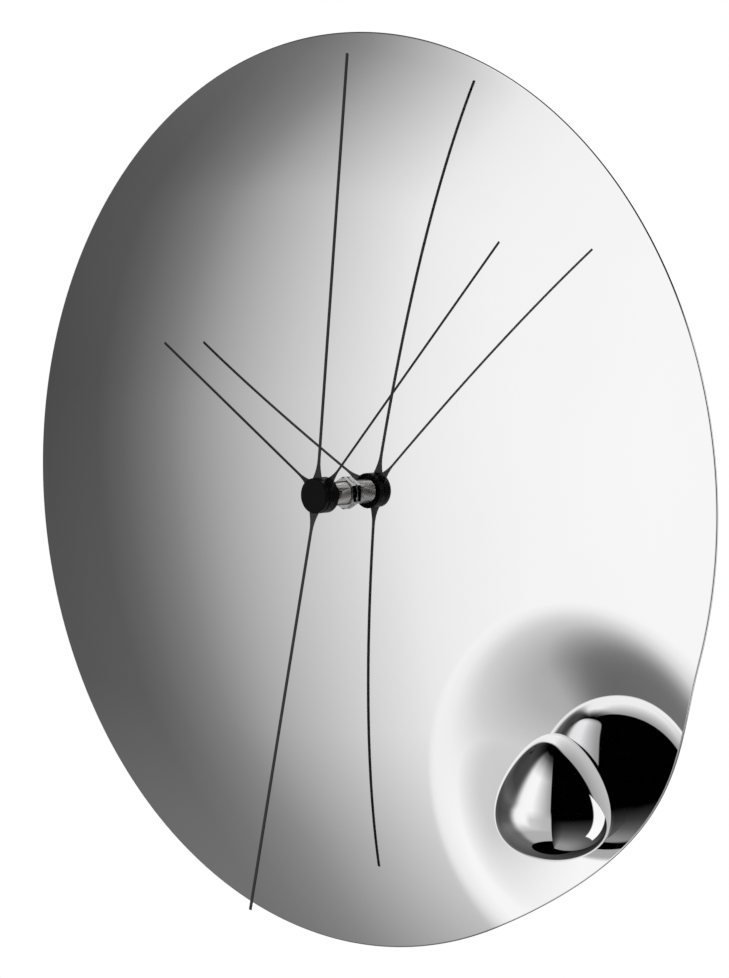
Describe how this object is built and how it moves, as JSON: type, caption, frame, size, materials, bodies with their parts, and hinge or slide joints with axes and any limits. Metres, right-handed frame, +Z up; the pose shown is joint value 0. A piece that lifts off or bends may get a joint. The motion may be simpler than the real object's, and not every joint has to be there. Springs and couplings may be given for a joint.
{
  "type": "wall clock",
  "caption": "Round wall clock: a domed mirror dish with a crater and a polished pebble, very thin hands on a central bushing, battery movement and hanger behind it.",
  "frame": {"origin": "on the hands' axis, in the plane of the wall that the hanger bracket lies on", "axes": "+Y into the wall, +Z up, +X to the right as seen by someone who reads the clock"},
  "size_m": [0.45, 0.0758, 0.45],
  "materials": {
    "mirror_steel": "mirror polished",
    "black_paint": "satin black",
    "nickel_brass": "nickel plated",
    "zinc_steel": "zinc plated",
    "rubber": "matt",
    "black_case": "moulded",
    "white_plastic": "moulded",
    "brass": "turned",
    "bright_steel": "turned",
    "magnet": "sintered",
    "soft_iron": "punched",
    "copper": "enamelled wire",
    "board_green": "solder mask",
    "battery_wrap": "plain sleeve",
    "bracket_steel": "powder coated"
  },
  "bodies": {
    "dish_body": {"dish": "mirror_steel", "pebble_shell": "mirror_steel", "pebble_plug": "zinc_steel", "pebble_stud": "zinc_steel", "stud_spacer": "zinc_steel", "pebble_nut": "zinc_steel", "central_nut": "nickel_brass", "nut_washer": "nickel_brass", "rubber_gasket": "rubber", "bushing": "nickel_brass", "movement_front_case": "black_case", "movement_rear_cover": "black_case", "train_bridge": "white_plastic", "battery": "battery_wrap", "contact_plus": "nickel_brass", "contact_minus": "nickel_brass", "circuit_board": "board_green", "quartz_crystal": "zinc_steel", "circuit_chip": "black_case", "coil_bobbin": "white_plastic", "coil_winding": "copper", "coil_core": "soft_iron", "stator": "soft_iron", "hanger_bracket": "bracket_steel", "bracket_studs": "zinc_steel", "bracket_nuts": "zinc_steel"},
    "second": {"second_hand": "black_paint", "second_cap": "black_paint", "second_arbor": "bright_steel", "second_wheel": "white_plastic"},
    "minute": {"minute_hand": "black_paint", "minute_hub": "black_paint", "minute_arbor": "brass", "centre_wheel": "white_plastic"},
    "hour": {"hour_hand": "black_paint", "hour_hub": "black_paint", "hour_tube": "brass", "hour_wheel": "white_plastic"},
    "rotor": {"rotor_arbor": "bright_steel", "rotor_magnet": "magnet"},
    "intermediate": {"step_arbor": "bright_steel", "step_wheel": "white_plastic"},
    "third": {"third_arbor": "bright_steel", "third_wheel": "white_plastic"},
    "setting": {"setting_arbor": "bright_steel", "setting_wheel": "white_plastic", "setting_knob": "black_case"}
  },
  "joints": [
    {"name": "second_spin", "type": "hinge", "parent": "dish_body", "child": "second", "pos_m": [0, 0, 0], "axis": [0, 1, 0], "continuous": true},
    {"name": "minute_spin", "type": "hinge", "parent": "dish_body", "child": "minute", "pos_m": [0, 0, 0], "axis": [0, 1, 0], "continuous": true},
    {"name": "hour_spin", "type": "hinge", "parent": "dish_body", "child": "hour", "pos_m": [0, 0, 0], "axis": [0, 1, 0], "continuous": true},
    {"name": "third_spin", "type": "hinge", "parent": "dish_body", "child": "third", "pos_m": [-0.0099, 0, 0], "axis": [0, 1, 0], "continuous": true},
    {"name": "intermediate_spin", "type": "hinge", "parent": "dish_body", "child": "intermediate", "pos_m": [0, 0, -0.01], "axis": [0, 1, 0], "continuous": true},
    {"name": "rotor_spin", "type": "hinge", "parent": "dish_body", "child": "rotor", "pos_m": [0, 0, -0.0168], "axis": [0, 1, 0], "continuous": true},
    {"name": "setting_spin", "type": "hinge", "parent": "dish_body", "child": "setting", "pos_m": [0.0104, 0, 0], "axis": [0, 1, 0], "continuous": true}
  ],
  "couplings": [
    {"joint": "minute_spin", "follows": "second_spin", "ratio": 0.016667},
    {"joint": "hour_spin", "follows": "second_spin", "ratio": 0.0013889},
    {"joint": "third_spin", "follows": "second_spin", "ratio": -0.125},
    {"joint": "intermediate_spin", "follows": "second_spin", "ratio": -4},
    {"joint": "rotor_spin", "follows": "second_spin", "ratio": 30},
    {"joint": "setting_spin", "follows": "second_spin", "ratio": -0.0055556}
  ]
}
